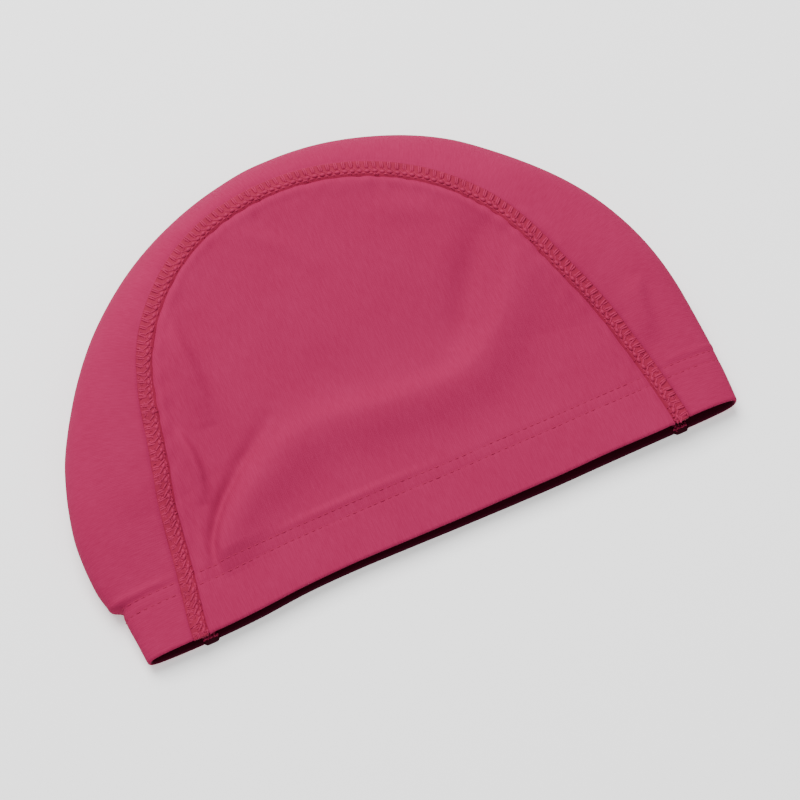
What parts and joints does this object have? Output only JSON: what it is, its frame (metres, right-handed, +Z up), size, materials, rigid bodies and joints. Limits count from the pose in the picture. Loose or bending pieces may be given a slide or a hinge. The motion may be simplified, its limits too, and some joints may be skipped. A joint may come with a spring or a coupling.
{
  "type": "swim cap",
  "caption": "Three-panel stretch cloth swim cap lying on its side: a centre band between D-shaped side panels, raised seams, and an open hem for the head.",
  "frame": {"origin": "on the flat underside of the side panel that the cap lies on, midway from hem edge to crown and midway along the hem", "axes": "+X along the hem from the back of the cap to its front, +Y from the hem edge to the crown, +Z up from the surface it lies on"},
  "size_m": [0.2499, 0.1612, 0.0426],
  "materials": {
    "cap_cloth": "matt raspberry-pink stretch knit with a faint sheen",
    "seam_thread": "matt flatlock thread, a little redder than the cloth"
  },
  "bodies": {
    "root": {"centre_band": "cap_cloth", "side_panel_upper": "cap_cloth", "side_panel_under": "cap_cloth", "seam_upper": "seam_thread", "seam_under": "seam_thread"}
  },
  "joints": []
}
